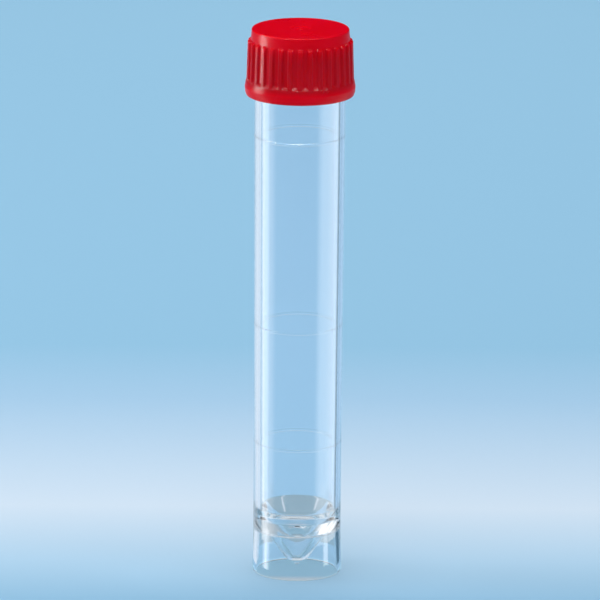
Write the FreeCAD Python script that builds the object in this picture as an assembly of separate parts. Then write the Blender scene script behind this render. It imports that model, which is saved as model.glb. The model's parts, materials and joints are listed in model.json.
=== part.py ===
"""A 10 ml screw-cap sample tube with a conical chamber floor and a hollow standing skirt.

Three pieces: the clear tube, the ribbed screw cap, and the flat seal liner that sits inside the cap.
Millimetres, +Z up along the tube's axis, origin at the centre of the ring that the tube stands on.
"""
import FreeCAD
import Part
import math
import os

# ---- driving dimensions: tube -------------------------------------------------------------
TUBE_LENGTH = 97.0
LAND_R_LOW, LAND_R_HIGH = 7.76, 8.02       # straight lands at both ends of the drafted body
DRAFT_LOW_Z, DRAFT_HIGH_Z = 22.0, 81.0
UPPER_LAND_TOP_Z = 87.0
BORE_R_LOW, BORE_R_HIGH = 6.62, 6.93       # at the chamber floor and at the mouth
SKIRT_OUTER_R = 7.89                       # the skirt flares back out towards the foot
SKIRT_INNER_R = 7.20
SKIRT_TOP_INNER_R = 6.85
SHOULDER_Z = 7.9                           # underside of the chamber floor, inside the skirt
CHAMBER_FLOOR_Z = 11.85                    # where the straight bore turns into the cone
CONE_RISE = 1.48                           # rise of both cone faces per millimetre of radius
INNER_TIP_Z = 3.0
OUTER_APEX_Z = -0.62                       # where the outer cone would close to a point
OUTER_TIP_Z = 2.0
OUTER_TIP_ROUNDING = 1.5
GATE_R, GATE_Z = 0.5, 1.1                  # sprue stub left under the tip

# ---- driving dimensions: graduation marks --------------------------------------------------
MARK_HEIGHTS = (23.9, 45.4, 79.7)          # 2 ml, 5 ml and 10 ml
MARK_RAISE = 0.04
MARK_WIDTH = 0.42

# ---- driving dimensions: neck and thread ---------------------------------------------------
NECK_R = 7.55
STEP_R = 8.0
NECK_STEP_Z, NECK_Z = 88.2, 88.7           # the body steps in to the neck under the cap's collar
PITCH = 3.0
THREAD_ROOT_WIDTH, THREAD_CREST_WIDTH = 1.3, 0.6
MALE_CREST_R = 8.12
MALE_START_Z, MALE_TURNS = 90.5, 1.5
CAP_BORE_R = 8.27
FEMALE_CREST_R = 7.74
FEMALE_TURNS = 4.0 / 3.0
FEMALE_START_ANGLE = 102.0
THREAD_OFFSET = 0.95                       # the cap's ridge runs this far below the tube's, pulling down
THREAD_BITE = 0.25                         # depth of each ridge inside the wall that carries it

# ---- driving dimensions: cap and liner -----------------------------------------------------
CAP_TOP_Z = 99.0
CAP_BOTTOM_Z = 87.15
CAP_TOP_R = 8.58
CAP_BAND_R, CAP_BAND_Z = 8.72, 97.4        # smooth band above the ribs
VALLEY_R, VALLEY_Z = 9.0, 90.3             # wall between the ribs, down to the collar
FLARE_R, FLARE_Z = 9.56, 89.75             # where the ribs run out into the collar
COLLAR_R, COLLAR_Z = 9.77, 88.65
COLLAR_FOOT_R = 9.5
COLLAR_BORE_R, COLLAR_BORE_Z = 8.60, 89.2
PANEL_Z = 97.7                             # underside of the cap's top panel
RIB_COUNT = 32
RIB_WIDTH = 0.80
RIB_TOP_R, RIB_TOP_Z = 9.27, 96.8
RIB_END_Z = 97.15                          # where a rib's top slope meets the smooth band
RIB_FOOT_R, RIB_FOOT_Z = 9.48, 89.5
BEAD_R = 7.78                              # snap bead that keeps the liner in the cap
BEAD_LOW_Z, BEAD_HIGH_Z = 96.0, 96.85
LINER_SEAT_R = 8.12
LINER_R = 8.02
LINER_GAP = 0.02                           # the liner's faces sit just off the rim and the panel
TOP_DIMPLE_R, TOP_DIMPLE_DEPTH = 1.5, 0.15
TOP_GATE_R = 0.55
EMBOSS = 0.08                              # height of the plain bars on the cap's top
BAR_WIDTH = 0.45
TOP_BARS = ((1.1, -4.0, 2.1), (1.4, -5.6, 2.8))    # centre x, centre y and length of each bar
PIP_ANGLES = (-65.5, -60.0)                # two plain pips where the ribs meet the collar
PIP_R, PIP_CENTRE_R, PIP_Z = 0.4, 9.35, 89.5

AXIS_POINT = FreeCAD.Vector(0, 0, 0)
AXIS = FreeCAD.Vector(0, 0, 1)
FULL_TURN = 360.0


def body_r(z):
    """Outer radius of the tube's drafted body at height z, between the two lands."""
    slope = (LAND_R_HIGH - LAND_R_LOW) / (DRAFT_HIGH_Z - DRAFT_LOW_Z)
    return LAND_R_LOW + slope * (z - DRAFT_LOW_Z)


def corner_arc(before, corner, after, radius):
    """(start, middle, end) of the arc that rounds a corner between two straight runs."""
    to_before = (before - corner).normalize()
    to_after = (after - corner).normalize()
    half = to_before.getAngle(to_after) / 2
    reach = radius / math.tan(half)
    middle_way = (to_before + to_after).normalize()
    centre = corner + middle_way * (radius / math.sin(half))
    return corner + to_before * reach, centre - middle_way * radius, corner + to_after * reach


def outline(corners):
    """Closed wire in the XZ plane through (radius, height, rounding) corners."""
    points = [FreeCAD.Vector(r, 0, z) for r, z, _ in corners]
    count = len(points)
    stops = []
    for i, (_, _, rounding) in enumerate(corners):
        if rounding:
            stops.append(corner_arc(points[i - 1], points[i], points[(i + 1) % count], rounding))
        else:
            stops.append((points[i], None, points[i]))
    edges = []
    for i, (start, middle, end) in enumerate(stops):
        if middle is not None:
            edges.append(Part.Arc(start, middle, end).toShape())
        next_start = stops[(i + 1) % count][0]
        if end.distanceToPoint(next_start) > 1e-6:
            edges.append(Part.LineSegment(end, next_start).toShape())
    return Part.Wire(edges)


def turned(corners, angle=FULL_TURN):
    """Solid of revolution about the tube's axis."""
    return Part.Face(outline(corners)).revolve(AXIS_POINT, AXIS, angle)


def helical_ridge(wall_r, crest_r, start_z, start_angle, turns):
    """Right-hand trapezoidal thread ridge that stands from wall_r to crest_r."""
    inward = 1 if crest_r < wall_r else -1
    buried_r = wall_r + inward * THREAD_BITE
    half_root, half_crest = THREAD_ROOT_WIDTH / 2, THREAD_CREST_WIDTH / 2
    section = Part.makePolygon([
        FreeCAD.Vector(buried_r, 0, -half_root),
        FreeCAD.Vector(wall_r, 0, -half_root),
        FreeCAD.Vector(crest_r, 0, -half_crest),
        FreeCAD.Vector(crest_r, 0, half_crest),
        FreeCAD.Vector(wall_r, 0, half_root),
        FreeCAD.Vector(buried_r, 0, half_root),
        FreeCAD.Vector(buried_r, 0, -half_root),
    ])
    path = Part.makeHelix(PITCH, PITCH * turns, wall_r)
    sweep = Part.BRepOffsetAPI.MakePipeShell(Part.Wire(path.Edges))
    sweep.setFrenetMode(True)
    sweep.add(section)
    sweep.build()
    sweep.makeSolid()
    ridge = sweep.shape()
    ridge.rotate(AXIS_POINT, AXIS, start_angle)
    ridge.translate(FreeCAD.Vector(0, 0, start_z))
    return ridge


def mark_corners(z):
    """Corners of one raised graduation ring on the body, from its lower edge up."""
    half = MARK_WIDTH / 2
    crest = half / 2
    return [
        (body_r(z - half), z - half, 0),
        (body_r(z - crest) + MARK_RAISE, z - crest, 0),
        (body_r(z + crest) + MARK_RAISE, z + crest, 0),
        (body_r(z + half), z + half, 0),
    ]


def make_tube():
    """Clear tube: skirt, conical floor, drafted body with three marks, neck with its thread."""
    outer_tip_r = (OUTER_TIP_Z - OUTER_APEX_Z) / CONE_RISE
    shoulder_r = (SHOULDER_Z - OUTER_APEX_Z) / CONE_RISE
    inner_tip_r = BORE_R_LOW - (CHAMBER_FLOOR_Z - INNER_TIP_Z) / CONE_RISE
    outside = [
        (SKIRT_OUTER_R, 0, 0.25),
        (LAND_R_LOW, SHOULDER_Z, 0),
        (LAND_R_LOW, DRAFT_LOW_Z, 0),
    ]
    for z in MARK_HEIGHTS:
        outside += mark_corners(z)
    outside += [
        (LAND_R_HIGH, DRAFT_HIGH_Z, 0),
        (LAND_R_HIGH, UPPER_LAND_TOP_Z, 0),
        (STEP_R, NECK_STEP_Z, 0.2),
        (NECK_R, NECK_Z, 0.2),
        (NECK_R, TUBE_LENGTH, 0.2),
    ]
    inside = [
        (BORE_R_HIGH, TUBE_LENGTH, 0.2),
        (BORE_R_LOW, CHAMBER_FLOOR_Z, 0.5),
        (inner_tip_r, INNER_TIP_Z, 0.8),
        (0, INNER_TIP_Z, 0),
    ]
    underneath = [
        (0, GATE_Z, 0),
        (GATE_R, GATE_Z, 0.3),
        (GATE_R, OUTER_TIP_Z, 0.1),
        (outer_tip_r, OUTER_TIP_Z, OUTER_TIP_ROUNDING),
        (shoulder_r, SHOULDER_Z, 0.4),
        (SKIRT_TOP_INNER_R, SHOULDER_Z, 0.3),
        (SKIRT_INNER_R, 0, 0.15),
    ]
    shell = turned(outside + inside + underneath)
    thread = helical_ridge(NECK_R, MALE_CREST_R, MALE_START_Z, 0, MALE_TURNS)
    return shell.fuse(thread)


def rib_corners():
    """Axial outline of one grip rib, buried in the cap's wall and in the collar."""
    buried_r = VALLEY_R - 0.3
    return [
        (buried_r, RIB_FOOT_Z, 0),
        (RIB_FOOT_R, RIB_FOOT_Z, 0),
        (RIB_TOP_R, RIB_TOP_Z, 0.3),
        (CAP_BAND_R - 0.05, RIB_END_Z, 0),
        (buried_r - 0.3, RIB_END_Z - 0.4, 0),
    ]


def cap_marks():
    """Plain raised bars on the cap's top and two plain pips at its collar."""
    marks = []
    for x, y, length in TOP_BARS:
        corner = FreeCAD.Vector(x - length / 2, y - BAR_WIDTH / 2, CAP_TOP_Z - 0.2)
        marks.append(Part.makeBox(length, BAR_WIDTH, 0.2 + EMBOSS, corner))
    for angle in PIP_ANGLES:
        turn = math.radians(angle)
        centre = FreeCAD.Vector(PIP_CENTRE_R * math.cos(turn), PIP_CENTRE_R * math.sin(turn), PIP_Z)
        marks.append(Part.makeSphere(PIP_R, centre))
    return marks


def make_cap():
    """Screw cap: panel, smooth band, 32 grip ribs, flared collar, inner thread and liner bead."""
    outside = [
        (0, CAP_TOP_Z - TOP_DIMPLE_DEPTH, 0),
        (TOP_DIMPLE_R, CAP_TOP_Z - TOP_DIMPLE_DEPTH, 0),
        (TOP_DIMPLE_R + 0.3, CAP_TOP_Z, 0),
        (CAP_TOP_R, CAP_TOP_Z, 0.25),
        (CAP_BAND_R, CAP_BAND_Z, 0),
        (VALLEY_R, VALLEY_Z, 0.4),
        (FLARE_R, FLARE_Z, 0.6),
        (COLLAR_R, COLLAR_Z, 0.5),
        (COLLAR_R - 0.07, CAP_BOTTOM_Z + 0.6, 0.3),
        (COLLAR_FOOT_R, CAP_BOTTOM_Z, 0.2),
    ]
    inside = [
        (COLLAR_BORE_R + 0.1, CAP_BOTTOM_Z, 0.15),
        (COLLAR_BORE_R, COLLAR_BORE_Z, 0.15),
        (CAP_BORE_R, COLLAR_BORE_Z + 0.4, 0),
        (CAP_BORE_R, BEAD_LOW_Z - 0.2, 0.1),
        (BEAD_R, BEAD_LOW_Z + 0.15, 0.1),
        (BEAD_R, BEAD_HIGH_Z - 0.3, 0.1),
        (LINER_SEAT_R, BEAD_HIGH_Z, 0.05),
        (LINER_SEAT_R, PANEL_Z, 0),
        (0, PANEL_Z, 0),
    ]
    cap = turned(outside + inside)
    rib_angle = math.degrees(RIB_WIDTH / RIB_TOP_R)
    rib = turned(rib_corners(), rib_angle)
    rib.rotate(AXIS_POINT, AXIS, -rib_angle / 2)
    ribs = []
    for i in range(RIB_COUNT):
        copy = rib.copy()
        copy.rotate(AXIS_POINT, AXIS, i * FULL_TURN / RIB_COUNT)
        ribs.append(copy)
    start_z = MALE_START_Z - THREAD_OFFSET + PITCH * FEMALE_START_ANGLE / FULL_TURN
    thread = helical_ridge(CAP_BORE_R, FEMALE_CREST_R, start_z, FEMALE_START_ANGLE, FEMALE_TURNS)
    gate = Part.makeCylinder(TOP_GATE_R, 0.25, FreeCAD.Vector(0, 0, CAP_TOP_Z - TOP_DIMPLE_DEPTH - 0.15))
    return cap.multiFuse(ribs + cap_marks() + [thread, gate])


def make_liner():
    """Flat seal disc that the rim presses into; it rises with the cap."""
    low_z, high_z = TUBE_LENGTH + LINER_GAP, PANEL_Z - LINER_GAP
    return turned([
        (0, low_z, 0),
        (LINER_R, low_z, 0.1),
        (LINER_R, high_z, 0.1),
        (0, high_z, 0),
    ])


def save(shape, name):
    """Write one sub-part and print what it is, so that a broken solid shows at once."""
    shape = shape.removeSplitter()
    solids = shape.Solids
    print(name, "valid" if shape.isValid() else "INVALID", len(solids), "solid(s)",
          round(shape.Volume, 1), "mm3", shape.BoundBox)
    solids[0].exportStep(f"parts/{name}.step")


def main():
    os.makedirs("parts", exist_ok=True)
    save(make_tube(), "tube")
    save(make_cap(), "screw_cap")
    save(make_liner(), "seal_liner")


main()
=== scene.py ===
"""Looks of a clear screw-cap sample tube with a red ribbed cap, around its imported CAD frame."""

import json
import math

import bmesh
import bpy
from mathutils import Matrix, Vector


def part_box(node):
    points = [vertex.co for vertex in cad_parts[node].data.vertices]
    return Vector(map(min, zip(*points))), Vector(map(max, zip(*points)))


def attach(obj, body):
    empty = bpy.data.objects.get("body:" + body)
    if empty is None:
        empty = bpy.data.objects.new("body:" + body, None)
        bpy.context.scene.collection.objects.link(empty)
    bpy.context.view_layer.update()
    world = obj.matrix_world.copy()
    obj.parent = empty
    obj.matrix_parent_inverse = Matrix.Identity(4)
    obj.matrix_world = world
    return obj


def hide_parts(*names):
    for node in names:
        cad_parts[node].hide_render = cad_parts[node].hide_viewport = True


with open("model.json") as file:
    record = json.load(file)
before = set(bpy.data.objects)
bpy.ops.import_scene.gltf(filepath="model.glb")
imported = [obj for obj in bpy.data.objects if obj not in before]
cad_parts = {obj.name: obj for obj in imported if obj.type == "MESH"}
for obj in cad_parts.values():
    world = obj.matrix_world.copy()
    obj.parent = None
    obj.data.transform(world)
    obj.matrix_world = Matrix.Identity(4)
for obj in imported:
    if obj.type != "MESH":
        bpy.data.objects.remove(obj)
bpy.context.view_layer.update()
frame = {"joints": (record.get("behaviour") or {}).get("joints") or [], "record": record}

MM = 0.001
FULL_TURN = 2 * math.pi
SHARP_EDGE = math.radians(40)    # faces that meet at more than this keep a crisp edge
GUARD = 0.06                     # extra points this near the ends of long runs keep their shading flat

# ---- places and sizes in millimetres, worked out from the frame ----------------------------
MOUNTS = {mount["name"]: mount for mount in frame["record"]["mounts"]}
JOINTS = {joint["name"]: joint for joint in frame["joints"]}
FOOT_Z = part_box("tube")[0].z / MM
RIM_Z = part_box("tube")[1].z / MM
EMBOSS = 0.08                    # the plain bars stand this far above the cap's top
CAP_TOP_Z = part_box("screw_cap")[1].z / MM - EMBOSS
CAP_BOTTOM_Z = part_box("screw_cap")[0].z / MM
COLLAR_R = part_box("screw_cap")[1].x / MM
LINER_LOW_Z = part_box("seal_liner")[0].z / MM
LINER_HIGH_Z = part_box("seal_liner")[1].z / MM
LINER_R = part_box("seal_liner")[1].x / MM
LAND_R_LOW = MOUNTS["lower_barrel"]["dims"]["r_mm"]
LAND_R_HIGH = MOUNTS["upper_barrel"]["dims"]["r_mm"]
PITCH = JOINTS["cap_lift"]["range_m"][1] / MM / (JOINTS["cap_turn"]["range_deg"][1] / 360)

# ---- tube: heights are measured up from the foot or down from the rim -----------------------
SKIRT_OUTER_R = LAND_R_LOW + 0.13
SKIRT_INNER_R = 7.20
SKIRT_TOP_INNER_R = 6.85
SHOULDER_Z = FOOT_Z + 7.9
DRAFT_LOW_Z = FOOT_Z + 22.0
DRAFT_HIGH_Z = FOOT_Z + 81.0
CHAMBER_FLOOR_Z = FOOT_Z + 11.85
BORE_R_LOW, BORE_R_HIGH = 6.62, 6.93
CONE_RISE = 1.48
INNER_TIP_Z = FOOT_Z + 3.0
OUTER_APEX_Z = FOOT_Z - 0.62
OUTER_TIP_Z, OUTER_TIP_ROUNDING = FOOT_Z + 2.0, 1.5
GATE_R, GATE_Z = 0.5, FOOT_Z + 1.1
MARK_HEIGHTS = (23.9, 45.4, 79.7)
MARK_RAISE, MARK_WIDTH, MARK_ROUNDING = 0.04, 0.42, 0.02
UPPER_LAND_TOP_Z = RIM_Z - 10.0
NECK_R, STEP_R = 7.55, 8.0
NECK_STEP_Z, NECK_Z = RIM_Z - 8.8, RIM_Z - 8.3
MALE_CREST_R = 8.12
MALE_START_Z, MALE_TURNS = RIM_Z - 6.5, 1.5

# ---- cap: heights are measured down from its top --------------------------------------------
CAP_TOP_R = 8.58
BAND_R, BAND_Z = 8.72, CAP_TOP_Z - 1.6
VALLEY_R, VALLEY_Z = 9.0, CAP_TOP_Z - 8.7
FLARE_R, FLARE_Z = 9.56, CAP_TOP_Z - 9.25
COLLAR_Z, COLLAR_FOOT_R = CAP_TOP_Z - 10.35, 9.5
PANEL_Z = CAP_TOP_Z - 1.3
CAP_BORE_R = 8.27
COLLAR_BORE_R, COLLAR_BORE_Z = 8.60, CAP_TOP_Z - 9.8
BEAD_R, BEAD_LOW_Z, BEAD_HIGH_Z = 7.78, PANEL_Z - 1.7, PANEL_Z - 0.85
LINER_SEAT_R = 8.12
RIB_COUNT = 32
GROOVE_DEPTH = 0.45
RIB_HALF_CREST, RIB_HALF_ROOT = 0.26, 0.58
RIB_TOP_R, RIB_TOP_Z, RIB_END_Z = 9.27, CAP_TOP_Z - 2.2, CAP_TOP_Z - 1.85
RIB_FOOT_R, RIB_FOOT_Z = 9.48, CAP_TOP_Z - 9.5
BAR_WIDTH = 0.45
TOP_BARS = ((1.1, -4.0, 2.1), (1.4, -5.6, 2.8))    # centre x, centre y and length of each bar
PIP_ANGLES = (-65.5, -60.0)                        # degrees round from +X
PIP_R, PIP_CENTRE_R, PIP_Z = 0.4, 9.35, CAP_TOP_Z - 9.5
FEMALE_CREST_R, FEMALE_TURNS = 7.74, 4 / 3
FEMALE_START_TURN = 102 / 360
THREAD_OFFSET = 0.95
THREAD_HALF_ROOT, THREAD_HALF_CREST = 0.65, 0.30
THREAD_RUN_OUT = 0.04            # turns over which each end of a ridge rises


def rounded(corners, steps=6):
    """Points (r, z) through corners (r, z, rounding), with a guard point near each end of a long run."""
    points = [Vector((r, z)) for r, z, _ in corners]
    path = [points[0]]
    for i in range(1, len(points) - 1):
        before, corner, after = points[i - 1], points[i], points[i + 1]
        rounding = corners[i][2]
        if not rounding:
            path.append(corner)
            continue
        to_before = (before - corner).normalized()
        to_after = (after - corner).normalized()
        half = math.acos(to_before.dot(to_after)) / 2
        reach = rounding / math.tan(half)
        centre = corner + (to_before + to_after).normalized() * (rounding / math.sin(half))
        start = corner + to_before * reach - centre
        end = corner + to_after * reach - centre
        for k in range(steps + 1):
            path.append(centre + start.slerp(end, k / steps).normalized() * rounding)
    path.append(points[-1])
    guarded = [path[0]]
    for a, b in zip(path, path[1:]):
        run = b - a
        if run.length > 5 * GUARD:
            guarded.append(a + run.normalized() * GUARD)
            guarded.append(b - run.normalized() * GUARD)
        guarded.append(b)
    return [(point.x, point.y) for point in guarded]


def finer(path, low, high, step):
    """The path with more points on its steep stretches between two heights."""
    result = [path[0]]
    for (r0, z0), (r1, z1) in zip(path, path[1:]):
        inside = low <= (z0 + z1) / 2 <= high
        count = max(1, round(abs(z1 - z0) / step)) if inside else 1
        for k in range(1, count + 1):
            t = k / count
            result.append((r0 + (r1 - r0) * t, z0 + (z1 - z0) * t))
    return result


def smooth_step(value):
    """0 below 0, 1 above 1, and an S-shaped rise between."""
    value = max(0.0, min(1.0, value))
    return value * value * (3 - 2 * value)


def thread_height(angle, z, start_z, start_turn, turns):
    """Share of a right-hand thread ridge's full height that stands at this angle and height."""
    best = 0.0
    for lap in range(-1, 4):
        turn = angle / FULL_TURN + lap
        travelled = turn - start_turn
        off = abs(z - (start_z + PITCH * travelled))
        across = 1 - smooth_step((off - THREAD_HALF_CREST) / (THREAD_HALF_ROOT - THREAD_HALF_CREST))
        start = smooth_step(travelled / THREAD_RUN_OUT)
        end = smooth_step((turns - travelled) / THREAD_RUN_OUT)
        best = max(best, across * start * end)
    return best


def put(name, mesh):
    """A new object in the scene from a finished bmesh."""
    data = bpy.data.meshes.new(name)
    mesh.to_mesh(data)
    mesh.free()
    thing = bpy.data.objects.new(name, data)
    bpy.context.scene.collection.objects.link(thing)
    return thing


def skin(name, path, angles, reach):
    """Closed mesh from a path (r, z) that starts and ends on the axis; reach(angle, index) is the radius."""
    mesh = bmesh.new()
    rings = []
    for index, (r, z) in enumerate(path):
        if index in (0, len(path) - 1):
            rings.append([mesh.verts.new((0, 0, z * MM))])
            continue
        ring = []
        for angle in angles:
            radius = reach(angle, index) * MM
            ring.append(mesh.verts.new((radius * math.cos(angle), radius * math.sin(angle), z * MM)))
        rings.append(ring)
    count = len(angles)
    for low, high in zip(rings, rings[1:]):
        for k in range(count):
            n = (k + 1) % count
            corners = [low[k % len(low)], low[n % len(low)], high[n % len(high)], high[k % len(high)]]
            unique = list(dict.fromkeys(corners))
            mesh.faces.new(unique)
    bmesh.ops.recalc_face_normals(mesh, faces=mesh.faces)
    piece = put(name, mesh)
    piece.data.shade_smooth()
    return piece


def even_angles(count):
    """Angles of a full turn in equal steps."""
    return [FULL_TURN * k / count for k in range(count)]


def drafted_r(z):
    """Outer radius of the tube's body between its two straight lands."""
    share = (z - DRAFT_LOW_Z) / (DRAFT_HIGH_Z - DRAFT_LOW_Z)
    return LAND_R_LOW + (LAND_R_HIGH - LAND_R_LOW) * share


def mark_corners(z):
    """One raised graduation ring, with flanks at 45 degrees and slightly rounded edges."""
    half = MARK_WIDTH / 2
    crest = half - MARK_RAISE
    return [
        (drafted_r(z - half), z - half, MARK_ROUNDING),
        (drafted_r(z - crest) + MARK_RAISE, z - crest, MARK_ROUNDING),
        (drafted_r(z + crest) + MARK_RAISE, z + crest, MARK_ROUNDING),
        (drafted_r(z + half), z + half, MARK_ROUNDING),
    ]


def make_tube():
    """The clear tube in one closed skin, from the chamber's tip round to the stub under the cone."""
    outer_tip_r = (OUTER_TIP_Z - OUTER_APEX_Z) / CONE_RISE
    shoulder_r = (SHOULDER_Z - OUTER_APEX_Z) / CONE_RISE
    inner_tip_r = BORE_R_LOW - (CHAMBER_FLOOR_Z - INNER_TIP_Z) / CONE_RISE
    corners = [
        (0, INNER_TIP_Z, 0),
        (inner_tip_r, INNER_TIP_Z, 0.8),
        (BORE_R_LOW, CHAMBER_FLOOR_Z, 0.5),
        (BORE_R_HIGH, RIM_Z, 0.2),
        (NECK_R, RIM_Z, 0.2),
        (NECK_R, NECK_Z, 0.2),
        (STEP_R, NECK_STEP_Z, 0.2),
        (LAND_R_HIGH, UPPER_LAND_TOP_Z, 0),
        (LAND_R_HIGH, DRAFT_HIGH_Z, 0),
    ]
    for height in sorted(MARK_HEIGHTS, reverse=True):
        corners += reversed(mark_corners(FOOT_Z + height))
    corners += [
        (LAND_R_LOW, DRAFT_LOW_Z, 0),
        (LAND_R_LOW, SHOULDER_Z, 0),
        (SKIRT_OUTER_R, FOOT_Z, 0.25),
        (SKIRT_INNER_R, FOOT_Z, 0.15),
        (SKIRT_TOP_INNER_R, SHOULDER_Z, 0.3),
        (shoulder_r, SHOULDER_Z, 0.4),
        (outer_tip_r, OUTER_TIP_Z, OUTER_TIP_ROUNDING),
        (GATE_R, OUTER_TIP_Z, 0.1),
        (GATE_R, GATE_Z, 0.3),
        (0, GATE_Z, 0),
    ]
    path = finer(rounded(corners), NECK_Z + 0.3, RIM_Z - 0.3, 0.08)

    def reach(angle, index):
        r, z = path[index]
        if abs(r - NECK_R) > 0.01:
            return r
        return r + (MALE_CREST_R - r) * thread_height(angle, z, MALE_START_Z, 0, MALE_TURNS)

    return skin("clear_tube", path, even_angles(224), reach)


def rib_angles():
    """Angles round the cap, closer together at the edges of each rib."""
    pitch_angle = FULL_TURN / RIB_COUNT
    offsets = [0.0, 0.2]
    for k in range(5):
        offsets.append(RIB_HALF_CREST + (RIB_HALF_ROOT - RIB_HALF_CREST) * k / 4)
    offsets.append(0.7)
    halves = [offset / RIB_TOP_R for offset in offsets]
    one = [-a for a in reversed(halves[1:])] + halves + [pitch_angle / 2]
    return [k * pitch_angle + a for k in range(RIB_COUNT) for a in one]


def rib_crest_r(z):
    """Radius of a rib's crest at height z; the top end is rounded off into the smooth band."""
    share = (RIB_TOP_Z - z) / (RIB_TOP_Z - RIB_FOOT_Z)
    straight = RIB_TOP_R + (RIB_FOOT_R - RIB_TOP_R) * share
    fall = smooth_step((z - (RIB_TOP_Z - 0.1)) / (RIB_END_Z - RIB_TOP_Z + 0.1))
    return straight + (BAND_R - straight) * fall


def add_cap_marks(cap):
    """Plain raised bars on the cap's top and two plain pips at its collar, made one skin with the cap."""
    mesh = bmesh.new()
    for x, y, length in TOP_BARS:
        size = Matrix.Diagonal((length * MM, BAR_WIDTH * MM, 2 * EMBOSS * MM, 1))
        place = Matrix.Translation((x * MM, y * MM, CAP_TOP_Z * MM))
        bmesh.ops.create_cube(mesh, size=1, matrix=place @ size)
    for angle in PIP_ANGLES:
        turn = math.radians(angle)
        centre = Vector((PIP_CENTRE_R * math.cos(turn), PIP_CENTRE_R * math.sin(turn), PIP_Z)) * MM
        ball = bmesh.ops.create_uvsphere(
            mesh, u_segments=16, v_segments=10, radius=PIP_R * MM, matrix=Matrix.Translation(centre))
        for face in {face for vert in ball["verts"] for face in vert.link_faces}:
            face.smooth = True
    marks = put("cap_marks", mesh)
    union = cap.modifiers.new("marks", "BOOLEAN")
    union.operation = "UNION"
    union.solver = "EXACT"
    union.object = marks
    whole = cap.evaluated_get(bpy.context.evaluated_depsgraph_get())
    cap.data = bpy.data.meshes.new_from_object(whole)
    cap.data.set_sharp_from_angle(angle=SHARP_EDGE)
    cap.modifiers.clear()
    bpy.data.objects.remove(marks)


def make_cap():
    """The red cap in one closed skin, from the middle of its top round to the panel above the liner."""
    corners = [
        (0, CAP_TOP_Z - 0.02, 0),
        (0.45, CAP_TOP_Z - 0.02, 0.1),
        (0.6, CAP_TOP_Z - 0.15, 0.1),
        (1.5, CAP_TOP_Z - 0.15, 0.2),
        (1.8, CAP_TOP_Z, 0.3),
        (CAP_TOP_R, CAP_TOP_Z, 0.25),
        (BAND_R, BAND_Z, 0),
        (VALLEY_R, VALLEY_Z, 0.4),
        (FLARE_R, FLARE_Z, 0.6),
        (COLLAR_R, COLLAR_Z, 0.5),
        (COLLAR_R - 0.07, CAP_BOTTOM_Z + 0.6, 0.3),
        (COLLAR_FOOT_R, CAP_BOTTOM_Z, 0.2),
        (COLLAR_BORE_R + 0.1, CAP_BOTTOM_Z, 0.15),
        (COLLAR_BORE_R, COLLAR_BORE_Z, 0.15),
        (CAP_BORE_R, COLLAR_BORE_Z + 0.4, 0),
        (CAP_BORE_R, BEAD_LOW_Z - 0.2, 0.1),
        (BEAD_R, BEAD_LOW_Z + 0.15, 0.1),
        (BEAD_R, BEAD_HIGH_Z - 0.3, 0.1),
        (LINER_SEAT_R, BEAD_HIGH_Z, 0.05),
        (LINER_SEAT_R, PANEL_Z, 0),
        (0, PANEL_Z, 0),
    ]
    path = rounded(corners, steps=4)
    lowest = min(range(len(path)), key=lambda index: path[index][1])
    outside = finer(path[:lowest + 1], RIB_FOOT_Z, RIB_TOP_Z - 0.2, 0.3)
    outside = finer(outside, RIB_TOP_Z - 0.2, BAND_Z + 0.1, 0.05)
    inside = finer(path[lowest:], COLLAR_BORE_Z + 0.3, BEAD_LOW_Z - 0.2, 0.12)
    path = outside + inside[1:]
    split = len(outside)
    start_z = MALE_START_Z - THREAD_OFFSET + PITCH * FEMALE_START_TURN

    def reach(angle, index):
        r, z = path[index]
        if index >= split:
            if abs(r - CAP_BORE_R) > 0.01:
                return r
            return r + (FEMALE_CREST_R - r) * thread_height(
                angle, z, start_z, FEMALE_START_TURN, FEMALE_TURNS)
        if z > BAND_Z + 0.05 or z < RIB_FOOT_Z:
            return r
        pitch_angle = FULL_TURN / RIB_COUNT
        off = abs((angle / pitch_angle + 0.5) % 1 - 0.5) * pitch_angle * RIB_TOP_R
        across = 1 - smooth_step((off - RIB_HALF_CREST) / (RIB_HALF_ROOT - RIB_HALF_CREST))
        return r + max(0.0, rib_crest_r(z) - r) * across

    cap = skin("ribbed_cap", path, rib_angles(), reach)
    add_cap_marks(cap)
    return cap


def make_liner():
    """The flat seal disc, with softly pressed edges and a shallow ring where the rim bites."""
    corners = [
        (0, LINER_HIGH_Z, 0),
        (LINER_R, LINER_HIGH_Z, 0.12),
        (LINER_R, LINER_LOW_Z, 0.12),
        (NECK_R + 0.05, LINER_LOW_Z, 0.1),
        (NECK_R - 0.05, LINER_LOW_Z + 0.06, 0.1),
        (BORE_R_HIGH + 0.05, LINER_LOW_Z + 0.06, 0.1),
        (BORE_R_HIGH - 0.05, LINER_LOW_Z, 0.1),
        (0, LINER_LOW_Z, 0),
    ]
    path = rounded(corners, steps=4)
    return skin("liner_disc", path, even_angles(160), lambda angle, index: path[index][0])


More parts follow.
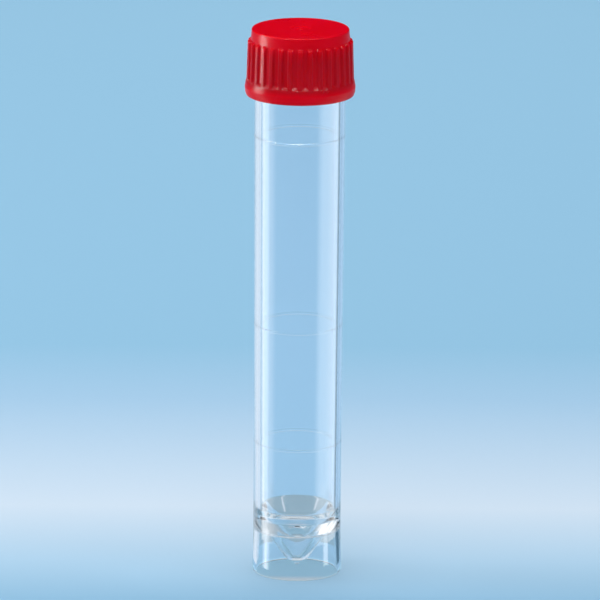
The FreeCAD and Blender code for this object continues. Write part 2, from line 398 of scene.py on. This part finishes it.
# ---- materials -------------------------------------------------------------------------------
class Shader:
    """A material's node tree with a Principled shader, and short ways to add to it."""

    def __init__(self, name):
        self.material = bpy.data.materials.new(name)
        self.material.use_nodes = True
        self.tree = self.material.node_tree
        self.principled = self.tree.nodes["Principled BSDF"]
        self.coordinates = self.add("ShaderNodeTexCoord").outputs["Object"]

    def add(self, kind, **settings):
        """A new node with these settings."""
        node = self.tree.nodes.new(kind)
        for key, value in settings.items():
            setattr(node, key, value)
        return node

    def join(self, output, socket):
        """Link an output to an input."""
        self.tree.links.new(output, socket)

    def set(self, **values):
        """Plain values on the Principled shader's own sockets; an underscore stands for a space."""
        for key, value in values.items():
            self.principled.inputs[key.replace("_", " ")].default_value = value

    def stretched(self, scale):
        """Object coordinates scaled by a different amount along each axis."""
        mapping = self.add("ShaderNodeMapping")
        mapping.inputs["Scale"].default_value = scale
        self.join(self.coordinates, mapping.inputs["Vector"])
        return mapping.outputs["Vector"]

    def noise(self, vector, scale, detail=3.0):
        """The grey value of a noise pattern."""
        node = self.add("ShaderNodeTexNoise")
        node.inputs["Scale"].default_value = scale
        node.inputs["Detail"].default_value = detail
        self.join(vector, node.inputs["Vector"])
        return node.outputs["Fac"]

    def spread(self, value, low, high):
        """A grey value from 0.3 to 0.7 spread to a range."""
        node = self.add("ShaderNodeMapRange")
        for key, number in (("From Min", 0.3), ("From Max", 0.7), ("To Min", low), ("To Max", high)):
            node.inputs[key].default_value = number
        self.join(value, node.inputs["Value"])
        return node.outputs["Result"]

    def share(self, value, zero_at, one_at, rise="SMOOTHSTEP"):
        """How far a value has gone from one number to another, from 0 to 1."""
        node = self.add("ShaderNodeMapRange", interpolation_type=rise)
        node.inputs["From Min"].default_value = zero_at
        node.inputs["From Max"].default_value = one_at
        self.join(value, node.inputs["Value"])
        return node.outputs["Result"]

    def blend(self, share, a, b):
        """One colour changing to another; each is a node's output or a plain colour."""
        node = self.add("ShaderNodeMix", data_type="RGBA")
        self.join(share, node.inputs["Factor"])
        for key, colour in (("A", a), ("B", b)):
            if isinstance(colour, tuple):
                node.inputs[key].default_value = (*colour, 1)
            else:
                self.join(colour, node.inputs[key])
        return node.outputs["Result"]

    def combine(self, operation, a, b):
        """Two grey values put together by a math operation."""
        node = self.add("ShaderNodeMath", operation=operation)
        self.join(a, node.inputs[0])
        self.join(b, node.inputs[1])
        return node.outputs["Value"]

    def axes(self):
        """The separate X, Y and Z outputs of the object coordinates."""
        node = self.add("ShaderNodeSeparateXYZ")
        self.join(self.coordinates, node.inputs["Vector"])
        return node.outputs

    def length(self, vector):
        """How long a vector is."""
        node = self.add("ShaderNodeVectorMath", operation="LENGTH")
        self.join(vector, node.inputs[0])
        return node.outputs["Value"]

    def ramp(self, value, stops):
        """A colour ramp through (position, colour) stops."""
        node = self.add("ShaderNodeValToRGB")
        elements = node.color_ramp.elements
        while len(elements) < len(stops):
            elements.new(0.5)
        for element, (position, colour) in zip(elements, stops):
            element.position = position
            element.color = (*colour, 1)
        self.join(value, node.inputs["Fac"])
        return node.outputs["Color"]

    def bump(self, height, distance, under=None):
        """A bump of this real depth, over another bump if one is given."""
        node = self.add("ShaderNodeBump")
        node.inputs["Distance"].default_value = distance
        self.join(height, node.inputs["Height"])
        if under is not None:
            self.join(under, node.inputs["Normal"])
        return node.outputs["Normal"]


def clear_polystyrene():
    """Clear moulded polystyrene: a trace of blue, faint flow lines along the tube, and a light shadow."""
    shader = Shader("clear_polystyrene")
    shader.set(Base_Color=(0.965, 0.98, 0.99, 1), IOR=1.59, Transmission_Weight=1.0)
    flow = shader.noise(shader.stretched((1, 1, 0.04)), 420, detail=2)
    cloud = shader.noise(shader.coordinates, 160, detail=3)
    shader.join(shader.spread(cloud, 0.0, 0.035), shader.principled.inputs["Roughness"])
    shader.join(shader.bump(flow, 0.000012), shader.principled.inputs["Normal"])
    path = shader.add("ShaderNodeLightPath")
    clear = shader.add("ShaderNodeBsdfTransparent")
    clear.inputs["Color"].default_value = (0.975, 0.985, 0.99, 1)
    mix = shader.add("ShaderNodeMixShader")
    output = shader.tree.nodes["Material Output"]
    shader.join(path.outputs["Is Shadow Ray"], mix.inputs["Fac"])
    shader.join(shader.principled.outputs["BSDF"], mix.inputs[1])
    shader.join(clear.outputs["BSDF"], mix.inputs[2])
    shader.join(mix.outputs["Shader"], output.inputs["Surface"])
    return shader.material


def red_polyethylene():
    """Red moulded polyethylene with painted light: a deeper, brighter red at the top and collar, grooves
    painted lighter than the rib crests, and a fine orange-peel surface.
    """
    shader = Shader("red_polyethylene")
    shader.set(IOR=1.50, Subsurface_Weight=1.0, Subsurface_Scale=0.0006, Specular_IOR_Level=0.05)
    shader.principled.inputs["Subsurface Radius"].default_value = (1.0, 0.12, 0.08)
    cloud = shader.noise(shader.coordinates, 140, detail=4)
    # painted light: the top and collar get a deeper, brighter red, as if more light fell on them
    lit_top_and_collar = shader.ramp(cloud, [(0.3, (0.64, 0.001, 0.009)), (0.7, (0.69, 0.0012, 0.012))])
    # painted light: the grooves between the ribs are painted lighter than the rib crests, lifting the shade
    # in them
    crest = shader.ramp(cloud, [(0.3, (0.43, 0.004, 0.011)), (0.7, (0.47, 0.005, 0.013))])
    lit_groove = shader.ramp(cloud, [(0.3, (0.52, 0.0045, 0.013)), (0.7, (0.57, 0.0055, 0.015))])
    height = shader.axes()["Z"]
    lean = (VALLEY_R - BAND_R) / (BAND_Z - VALLEY_Z)
    upright = shader.add("ShaderNodeMath", operation="MULTIPLY_ADD")
    upright.inputs[1].default_value = lean
    shader.join(height, upright.inputs[0])
    shader.join(shader.length(shader.stretched((1, 1, 0))), upright.inputs[2])
    wall = VALLEY_R + VALLEY_Z * lean
    # painted light: how far down into a groove a point lies, which sets how much lighter it is painted
    depth = shader.share(upright.outputs["Value"], (wall + GROOVE_DEPTH) * MM, wall * MM)
    # painted light: where the top and the collar get the lighter red
    top = shader.share(height, (RIB_END_Z - 3.0) * MM, (RIB_END_Z + 1.0) * MM)
    collar = shader.share(height, (RIB_FOOT_Z + 0.3) * MM, (RIB_FOOT_Z - 0.9) * MM)
    ends = shader.combine("MAXIMUM", top, collar)
    colour = shader.blend(ends, shader.blend(depth, crest, lit_groove), lit_top_and_collar)
    shader.join(colour, shader.principled.inputs["Base Color"])
    grain = shader.noise(shader.coordinates, 2600, detail=3)
    shader.join(shader.spread(cloud, 0.26, 0.36), shader.principled.inputs["Roughness"])
    peel = shader.bump(cloud, 0.00004)
    fine = shader.bump(grain, 0.000006, under=peel)
    shader.join(fine, shader.principled.inputs["Normal"])
    return shader.material


def foam_liner():
    """Off-white expanded polyethylene: matt, with fine closed cells."""
    shader = Shader("white_liner")
    shader.set(IOR=1.5, Specular_IOR_Level=0.3)
    cells = shader.add("ShaderNodeTexVoronoi")
    cells.inputs["Scale"].default_value = 5000
    shader.join(shader.coordinates, cells.inputs["Vector"])
    cloud = shader.noise(shader.coordinates, 900)
    colour = shader.ramp(cloud, [(0.3, (0.76, 0.76, 0.73)), (0.7, (0.86, 0.86, 0.84))])
    shader.join(colour, shader.principled.inputs["Base Color"])
    shader.join(shader.spread(cloud, 0.55, 0.75), shader.principled.inputs["Roughness"])
    shader.join(shader.bump(cells.outputs["Distance"], 0.00003), shader.principled.inputs["Normal"])
    return shader.material


# ---- the object --------------------------------------------------------------------------------
def dress(piece, material, body, node):
    """Give a piece its material and body, and hide the CAD node it replaces."""
    piece.data.materials.append(material)
    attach(piece, body)
    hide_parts(node)


dress(make_tube(), clear_polystyrene(), "tube", "tube")
dress(make_cap(), red_polyethylene(), "cap", "screw_cap")
dress(make_liner(), foam_liner(), "seal", "seal_liner")

# ---- camera: a long lens from about 15 degrees above, a trace of roll --------------------------
CAMERA_DISTANCE = 1.4994
CAMERA_PITCH = math.radians(14.59)
CAMERA_ROLL = math.radians(0.424)
CAMERA_LENS, CAMERA_SHIFT = 507.6, (0.0024, 0.0011)
AIM = Vector((0, 0, CAP_TOP_Z * MM / 2))

# ---- the stage: colours, and distances from the tube's axis in metres --------------------------
WHITE = (1, 1, 1)
PALE_BLUE, SKY_BLUE, STREAK = (0.70, 0.82, 0.95), (0.42, 0.63, 0.86), (0.60, 0.69, 0.78)
SLATE, MIST = (0.27, 0.40, 0.49), (0.42, 0.50, 0.56)
DEEP_BLUE, DEEPEST_BLUE = (0.10, 0.22, 0.32), (0.06, 0.14, 0.21)
BESIDE, BEHIND_GLEAM, AT_FOOT = 0.03, 0.0305, 0.012
BEHIND_CONE, BEFORE_SLATE, SURROUNDING = 0.014, 0.0138, 0.4
ABOVE_FLOOR, UNDER_COLLAR, CONE_CARD_TOP, FOOT_CARD_TOP = 0.0002, 0.0835, 0.0095, 0.0075
CARD_COLUMNS = 48
FLOOR_R = 1.6
# where the floor's painted band of light starts and ends
LIGHT_BAND_NEAR_Y, LIGHT_BAND_FAR_Y = -0.05, 0.45
# how far round the tube's foot the floor is painted lighter, and where it is painted paler still under the
# foot's front
FOOT_LIGHT_R = 0.02
FRONT_LIGHT_START_Y, FRONT_LIGHT_FULL_Y = -0.0035, -0.0065
FOOT_LIGHT_EDGE_R, FOOT_LIGHT_FULL_R = 0.0095, 0.0085
BOUNCES = 64


def add_camera():
    """The camera on the object's front side, looking along +Y and down at its middle."""
    data = bpy.data.cameras.new("camera")
    data.lens = CAMERA_LENS
    data.sensor_width = 36
    data.shift_x, data.shift_y = CAMERA_SHIFT
    data.clip_start = 0.05
    data.clip_end = 30
    camera = bpy.data.objects.new("camera", data)
    bpy.context.scene.collection.objects.link(camera)
    back = Vector((0, -math.cos(CAMERA_PITCH), math.sin(CAMERA_PITCH)))
    facing = Matrix.Rotation(math.pi / 2 - CAMERA_PITCH, 4, "X") @ Matrix.Rotation(CAMERA_ROLL, 4, "Z")
    camera.matrix_world = Matrix.Translation(AIM + back * CAMERA_DISTANCE) @ facing
    bpy.context.scene.camera = camera


def add_softbox(name, azimuth, elevation, distance, width, height, power):
    """A rectangular soft light that faces the object; azimuth 0 is the camera's side, 90 its right.

    It shows in no gloss and through no wall: the cards beside the tube do that.
    """
    data = bpy.data.lights.new(name, "AREA")
    data.shape = "RECTANGLE"
    data.size = width
    data.size_y = height
    data.energy = power
    light = bpy.data.objects.new(name, data)
    bpy.context.scene.collection.objects.link(light)
    a, e = math.radians(azimuth), math.radians(elevation)
    away = Vector((math.sin(a) * math.cos(e), -math.cos(a) * math.cos(e), math.sin(e)))
    light.location = AIM + away * distance
    light.rotation_euler = away.to_track_quat("Z", "Y").to_euler()
    light.visible_camera = False
    light.visible_glossy = False
    light.visible_transmission = False


def card_material(name, colour, strength):
    """A glow that fades to clear where the mesh's own glow value falls to 0."""
    material = bpy.data.materials.new(name)
    material.use_nodes = True
    tree = material.node_tree
    tree.nodes.clear()
    share = tree.nodes.new("ShaderNodeAttribute")
    share.attribute_name = "glow"
    clear = tree.nodes.new("ShaderNodeBsdfTransparent")
    emission = tree.nodes.new("ShaderNodeEmission")
    emission.inputs["Color"].default_value = (*colour, 1)
    emission.inputs["Strength"].default_value = strength
    mix = tree.nodes.new("ShaderNodeMixShader")
    output = tree.nodes.new("ShaderNodeOutputMaterial")
    tree.links.new(share.outputs["Fac"], mix.inputs["Fac"])
    tree.links.new(clear.outputs["BSDF"], mix.inputs[1])
    tree.links.new(emission.outputs["Emission"], mix.inputs[2])
    tree.links.new(mix.outputs["Shader"], output.inputs["Surface"])
    return material


def add_card(name, azimuth, half_width, fade, colour, strength, distance=BESIDE, low=ABOVE_FLOOR,
             high=UNDER_COLLAR, gloss=True, through_glass=True):
    """A glowing curved card round the tube's axis, with sides that fade out; angles are in degrees.

    The camera and plain light don't see it: it shows in gloss, or through the clear wall, or in both.
    """
    mesh = bmesh.new()
    glow = mesh.verts.layers.float.new("glow")
    reach = half_width + fade / 2
    previous = None
    for k in range(CARD_COLUMNS + 1):
        offset = reach * (2 * k / CARD_COLUMNS - 1)
        a = math.radians(azimuth + offset)
        pair = []
        for height in (low, high):
            vert = mesh.verts.new((distance * math.sin(a), -distance * math.cos(a), height))
            vert[glow] = smooth_step((reach - abs(offset)) / fade)
            pair.append(vert)
        if previous:
            mesh.faces.new((previous[0], pair[0], pair[1], previous[1]))
        previous = pair
    card = put(name, mesh)
    card.data.materials.append(card_material(name, colour, strength))
    card.visible_camera = False
    card.visible_diffuse = False
    card.visible_shadow = False
    card.visible_glossy = gloss
    card.visible_transmission = through_glass


def floor_colour(shader):
    """The floor's colour: a soft painted band of light in depth for the camera, and for light, gloss and
    glass a plain one, painted lighter round the tube's foot.
    """
    depth = shader.axes()["Y"]
    # painted light: a soft band of light across the floor, seen only by the camera
    painted_light_band = shader.ramp(shader.share(depth, LIGHT_BAND_NEAR_Y, LIGHT_BAND_FAR_Y, "LINEAR"), [
        (0.06, (0.273, 0.494, 0.685)),
        (0.11, (0.42, 0.62, 0.79)),
        (0.18, (0.62, 0.735, 0.85)),
        (0.33, (0.372, 0.578, 0.768)),
        (0.41, (0.291, 0.536, 0.73)),
        (1.00, (0.324, 0.587, 0.79)),
    ])
    away = shader.length(shader.coordinates)
    # painted light: lighter close to the tube's foot, lifting the shade that the tube and cap cast there
    plain = shader.ramp(shader.share(away, 0, FOOT_LIGHT_R, "LINEAR"), [
        (0.42, (0.45, 0.77, 1.0)),
        (0.50, (0.325, 0.55, 0.76)),
    ])
    # painted light: paler still under the front of the foot
    front = shader.share(depth, FRONT_LIGHT_START_Y, FRONT_LIGHT_FULL_Y)
    foot = shader.share(away, FOOT_LIGHT_EDGE_R, FOOT_LIGHT_FULL_R)
    inside = shader.blend(shader.combine("MULTIPLY", front, foot), plain, (0.76, 0.88, 1.0))
    path = shader.add("ShaderNodeLightPath")
    return shader.blend(path.outputs["Is Camera Ray"], inside, painted_light_band)


def add_floor():
    """A wide pale blue floor, painted a little paler where the tube stands on it to lift the shade there."""
    mesh = bmesh.new()
    bmesh.ops.create_circle(mesh, cap_ends=True, radius=FLOOR_R, segments=128)
    floor = put("floor", mesh)
    shader = Shader("floor_paper")
    shader.set(Roughness=0.9, Specular_IOR_Level=0.1)
    shader.join(floor_colour(shader), shader.principled.inputs["Base Color"])
    floor.data.materials.append(shader.material)


def add_world():
    """Pale studio surroundings: dim as a light, brighter to the camera and through glass, absent in gloss."""
    world = bpy.data.worlds.new("studio")
    bpy.context.scene.world = world
    world.use_nodes = True
    tree = world.node_tree
    dim = tree.nodes["Background"]
    dim.inputs["Color"].default_value = (0.75, 0.82, 0.88, 1)
    dim.inputs["Strength"].default_value = 0.35
    bright = tree.nodes.new("ShaderNodeBackground")
    bright.inputs["Color"].default_value = (0.88, 0.93, 0.97, 1)
    bright.inputs["Strength"].default_value = 0.85
    path = tree.nodes.new("ShaderNodeLightPath")
    seen = tree.nodes.new("ShaderNodeMath")
    seen.operation = "MAXIMUM"
    mix = tree.nodes.new("ShaderNodeMixShader")
    tree.links.new(path.outputs["Is Transmission Ray"], seen.inputs[0])
    tree.links.new(path.outputs["Is Camera Ray"], seen.inputs[1])
    tree.links.new(seen.outputs["Value"], mix.inputs["Fac"])
    tree.links.new(dim.outputs["Background"], mix.inputs[1])
    tree.links.new(bright.outputs["Background"], mix.inputs[2])
    tree.links.new(mix.outputs["Shader"], tree.nodes["World Output"].inputs["Surface"])
    world.cycles_visibility.glossy = False


add_camera()
# plain light on the red cap, the floor and the liner
add_softbox("key", -60, 24, 0.9, 1.0, 0.7, 2.8)
add_softbox("front", -10, 18, 1.0, 0.9, 0.7, 2.9)
add_softbox("left", -97, 5, 0.6, 0.22, 1.0, 2.0)
add_softbox("right", 60, 18, 0.9, 0.6, 0.8, 2.8)
add_softbox("overhead", 180, 58, 1.0, 0.8, 0.8, 4.7)
add_softbox("top", 0, 75, 0.9, 0.3, 0.3, 0.9)

# gleams on the wall and the cap
add_card("left_gleam", -83.5, 10.5, 12, WHITE, 5.0, through_glass=False)
add_card("left_halo", -69, 10, 18, WHITE, 2.2, distance=BEHIND_GLEAM, through_glass=False)
add_card("right_gleam", 76, 30, 22, WHITE, 3.2, through_glass=False)
add_card("cap_gleam", -84, 6, 7, WHITE, 50.0, low=0.084, high=0.12, through_glass=False)
add_card("rim_gleam", 0, 58, 20, WHITE, 26.0, low=0.115, high=0.3, through_glass=False)
# bands that the wall's edges bend into view
add_card("left_pale", -133, 18, 4, PALE_BLUE, 1.0)
add_card("right_pale", 140, 14, 6, SKY_BLUE, 1.0)
add_card("right_dark", 120, 4.5, 2, DEEP_BLUE, 1.0)
# painted shade and light in the chamber's floor: a glowing slate card seen through it as grey, and two pale
# cards as its two streaks
add_card("back_grey", 180, 50, 6, SLATE, 1.0, distance=BEHIND_CONE, low=0.002, high=CONE_CARD_TOP)
add_card("left_streak", -168, 0.8, 1.6, STREAK, 1.0, distance=BEFORE_SLATE, low=0.003, high=CONE_CARD_TOP)
add_card("right_streak", 163.5, 0.9, 1.6, STREAK, 1.0, distance=BEFORE_SLATE, low=0.003, high=CONE_CARD_TOP)
# light and dark in the thick ring at the chamber's foot
add_card("ring_white", -97, 3, 16, WHITE, 1.5, distance=SURROUNDING, high=0.6, gloss=False)
add_card("ring_grey", 80, 35, 10, MIST, 1.0, distance=SURROUNDING, high=0.6, gloss=False)
# gleams and bands on the skirt
add_card("left_low", -62, 6, 13, WHITE, 7.0, distance=AT_FOOT, high=FOOT_CARD_TOP, through_glass=False)
add_card("right_low", 57, 5.5, 5, WHITE, 5.0, distance=AT_FOOT, low=0.001, high=FOOT_CARD_TOP,
         through_glass=False)
add_card("left_pale_low", -112, 15, 4, PALE_BLUE, 1.0, distance=AT_FOOT, high=FOOT_CARD_TOP)
add_card("right_dark_low", 107, 10, 4, DEEPEST_BLUE, 1.0, distance=AT_FOOT, high=FOOT_CARD_TOP)

add_floor()
add_world()
scene = bpy.context.scene
scene.view_settings.view_transform = "Standard"
scene.cycles.caustics_reflective = False
scene.cycles.caustics_refractive = False
scene.cycles.max_bounces = BOUNCES
scene.cycles.glossy_bounces = BOUNCES
scene.cycles.transmission_bounces = BOUNCES
